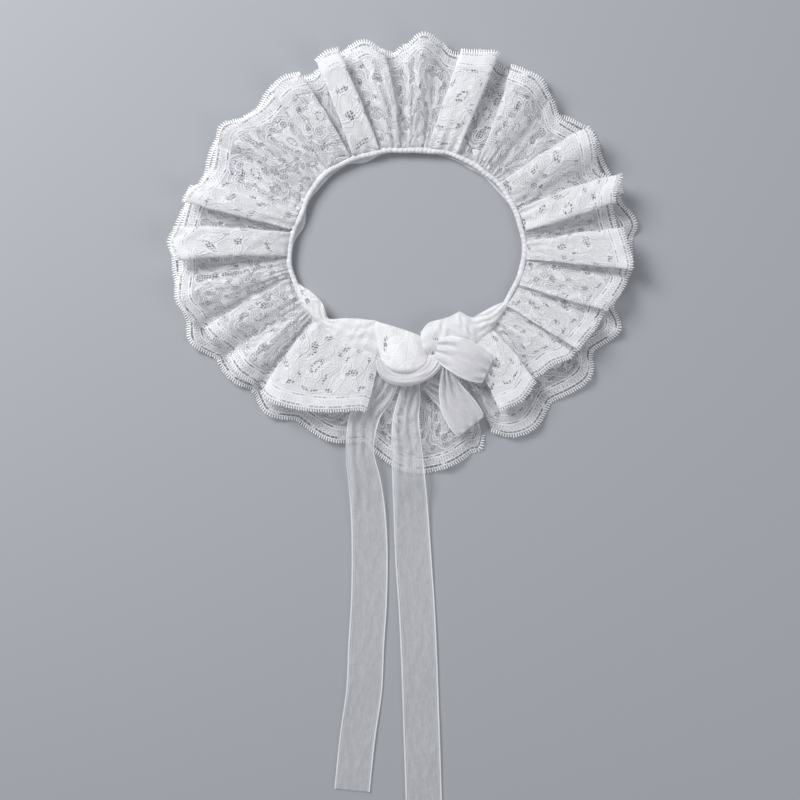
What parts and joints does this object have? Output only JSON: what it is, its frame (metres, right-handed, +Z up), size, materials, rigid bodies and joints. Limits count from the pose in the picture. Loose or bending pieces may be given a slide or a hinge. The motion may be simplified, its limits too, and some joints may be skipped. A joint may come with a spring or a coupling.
{
  "type": "ruff collar",
  "caption": "Gathered two-tier white lace neck ruff on a narrow band, laid flat, tied at the front with a sheer ribbon bow and two long tails.",
  "frame": {"origin": "on the surface the collar lies on, under the middle of the whole outline with its ribbon tails", "axes": "+Z up from the surface, +Y from the ribbon tails towards the back of the neck, +X to the right as seen from above with the bow nearest"},
  "size_m": [0.272, 0.4521, 0.0207],
  "materials": {
    "band_cotton": "white woven binding, matt",
    "lace_upper": "white scalloped floral lace, matt",
    "lace_lower": "white scalloped floral lace, matt",
    "lace_heading": "white gathered lace heading, matt",
    "organza_ribbon": "sheer white organza ribbon, soft sheen"
  },
  "bodies": {
    "root": {"neck_band": "band_cotton", "lace_upper": "lace_upper", "lace_lower": "lace_lower", "heading_front": "lace_heading", "heading_back": "lace_heading", "ribbon_knot": "organza_ribbon", "ribbon_loop_drop": "organza_ribbon", "ribbon_loop_wide": "organza_ribbon", "ribbon_tail_left": "organza_ribbon", "ribbon_tail_right": "organza_ribbon"}
  },
  "joints": []
}
